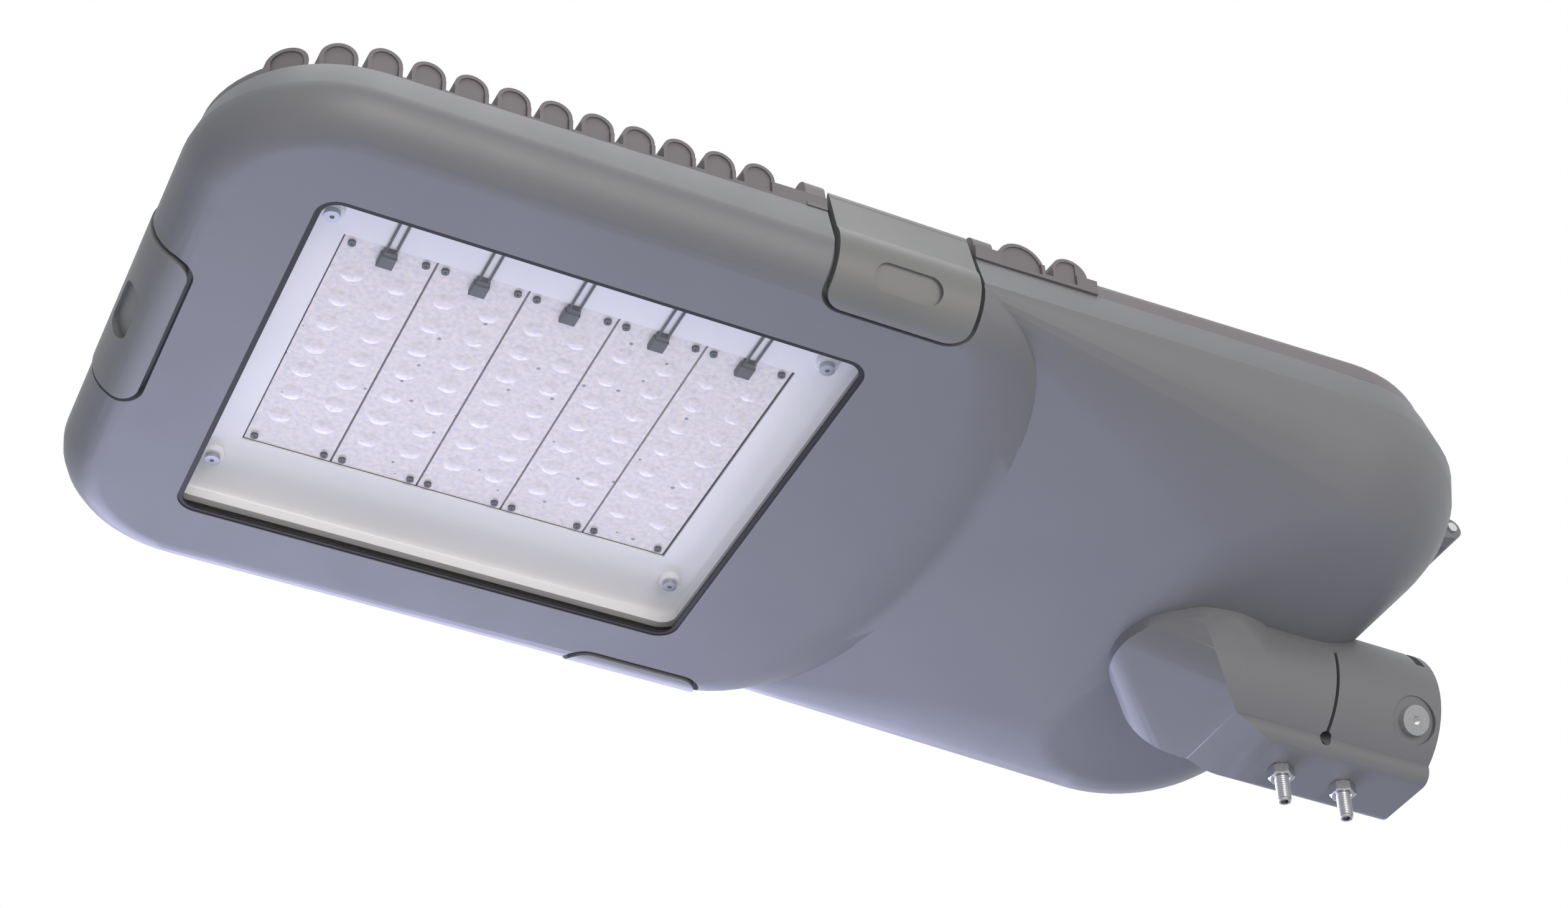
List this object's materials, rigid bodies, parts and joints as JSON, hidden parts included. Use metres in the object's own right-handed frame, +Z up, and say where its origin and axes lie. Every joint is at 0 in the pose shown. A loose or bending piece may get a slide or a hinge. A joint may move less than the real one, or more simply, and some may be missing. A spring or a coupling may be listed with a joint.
{
  "type": "street lantern",
  "caption": "LED street lantern head: flat glass window in a shell with a finned top cover, side latches, a gear belly and an under-slung pole clamp socket.",
  "frame": {"origin": "centre of the pole socket's mouth, on the socket's axis", "axes": "+X out of the socket towards the pole, +Z up, the light leaves towards -Z, the nose points to -X"},
  "size_m": [0.7446, 0.3672, 0.1831],
  "materials": {
    "housing_paint": "satin bluish grey powder coat on die-cast aluminium",
    "cover_paint": "satin dark grey powder coat on die-cast aluminium",
    "latch_paint": "satin grey powder coat on die-cast aluminium",
    "black_rubber": "matt black silicone seal",
    "clear_glass": "clear flat toughened glass",
    "stainless": "plain stainless steel, lightly brushed",
    "dark_steel": "blackened screw steel",
    "white_reflector": "glossy white diffusing finish",
    "board_white": "white solder resist",
    "lens_clear": "frosted clear acrylic lens plate",
    "connector_plastic": "dark grey moulded plastic",
    "zinc_sheet": "zinc-plated sheet",
    "driver_case": "plain extruded aluminium case",
    "gear_plastic": "off-white moulded plastic",
    "gland_plastic": "black polyamide"
  },
  "bodies": {
    "root": {"lower_body": "housing_paint", "top_cover": "cover_paint", "cover_gasket": "black_rubber", "glass_pane": "clear_glass", "glass_gasket": "black_rubber", "glass_clips": "stainless", "clip_screws": "stainless", "reflector_frame": "white_reflector", "reflector_screws": "dark_steel", "led_board_1": "board_white", "led_board_2": "board_white", "led_board_3": "board_white", "led_board_4": "board_white", "led_board_5": "board_white", "led_lens_1": "lens_clear", "led_lens_2": "lens_clear", "led_lens_3": "lens_clear", "led_lens_4": "lens_clear", "led_lens_5": "lens_clear", "module_screws": "dark_steel", "led_connectors": "connector_plastic", "led_leads": "connector_plastic", "latch_pins": "stainless", "hinge_pins": "stainless", "gear_tray": "zinc_sheet", "led_driver": "driver_case", "surge_protector": "gear_plastic", "terminal_block": "gear_plastic", "gear_screws": "stainless", "cable_gland": "gland_plastic", "clamp_bolts": "stainless", "clamp_nuts": "stainless", "lock_screw": "stainless"},
    "nose_latch": {"nose_latch": "latch_paint"},
    "left_latch": {"left_latch": "latch_paint"},
    "right_latch": {"right_latch": "latch_paint"}
  },
  "joints": [
    {"name": "nose_latch_hinge", "type": "hinge", "parent": "root", "child": "nose_latch", "pos_m": [-0.72869, 0, 0.07469], "axis": [0, 1, 0], "range_deg": [0, 75]},
    {"name": "left_latch_hinge", "type": "hinge", "parent": "root", "child": "left_latch", "pos_m": [-0.4, -0.16331, 0.089], "axis": [-1, 0, 0], "range_deg": [0, 75]},
    {"name": "right_latch_hinge", "type": "hinge", "parent": "root", "child": "right_latch", "pos_m": [-0.4, 0.16331, 0.089], "axis": [1, 0, 0], "range_deg": [0, 75]}
  ]
}
